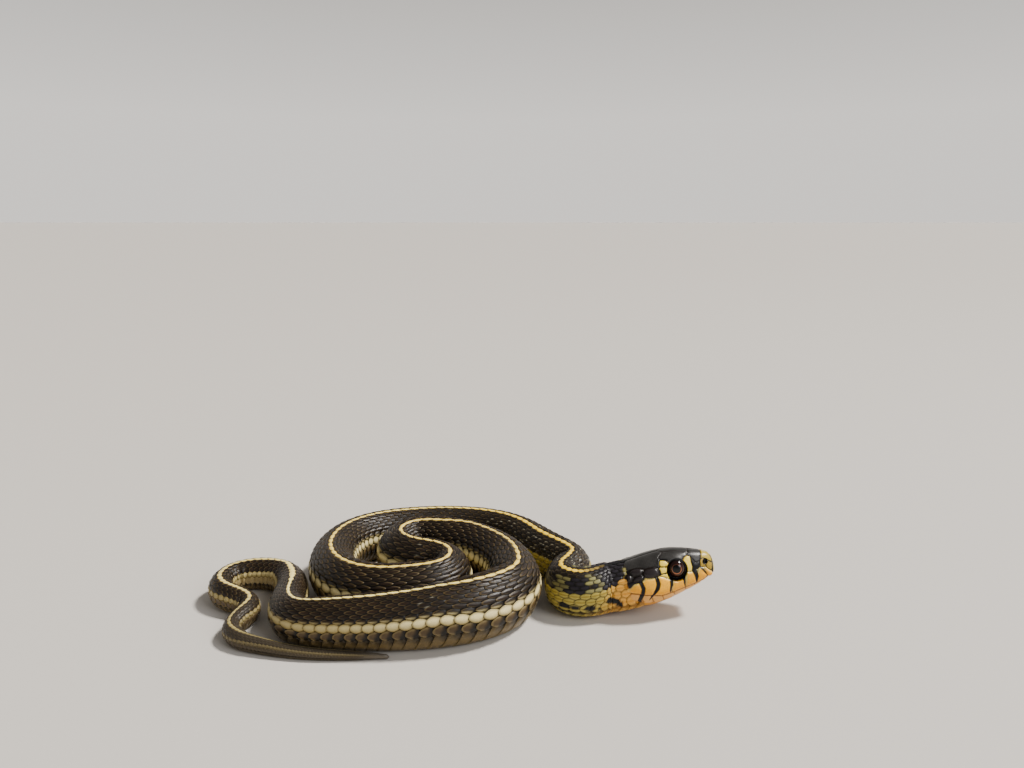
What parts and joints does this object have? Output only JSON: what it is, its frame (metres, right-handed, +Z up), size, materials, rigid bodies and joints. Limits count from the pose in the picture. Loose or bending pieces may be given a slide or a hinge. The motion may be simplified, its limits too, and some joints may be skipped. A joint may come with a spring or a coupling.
{
  "type": "garter snake model",
  "caption": "Life-size still model of a young garter snake resting in a flat coil on its belly, head lifted off the floor and pointing along +X, tail curled at the other end.",
  "frame": {"origin": "middle of the footprint, on the floor", "axes": "+X along the head towards the snout, which is the longest side; +Z up from the floor, the shortest side"},
  "size_m": [0.1018, 0.0539, 0.0126],
  "materials": {
    "head_skin": "glossy black head shields, cream and orange lip shields barred with black",
    "jaw_skin": "satin orange-cream chin and lip shields",
    "body_skin": "satin keeled scales, near black with pale yellow stripes and a tan belly",
    "tail_skin": "satin keeled scales, dark above and olive tan below",
    "eye": "wet gloss, dark brown iris with an orange ring round a black pupil"
  },
  "bodies": {
    "root": {"head": "head_skin", "lower_jaw": "jaw_skin", "eye_left": "eye", "eye_right": "eye", "neck": "body_skin", "trunk_1": "body_skin", "trunk_2": "body_skin", "trunk_3": "body_skin", "trunk_4": "body_skin", "trunk_5": "body_skin", "trunk_6": "body_skin", "trunk_7": "body_skin", "tail_1": "tail_skin", "tail_2": "tail_skin", "tail_3": "tail_skin"}
  },
  "joints": []
}
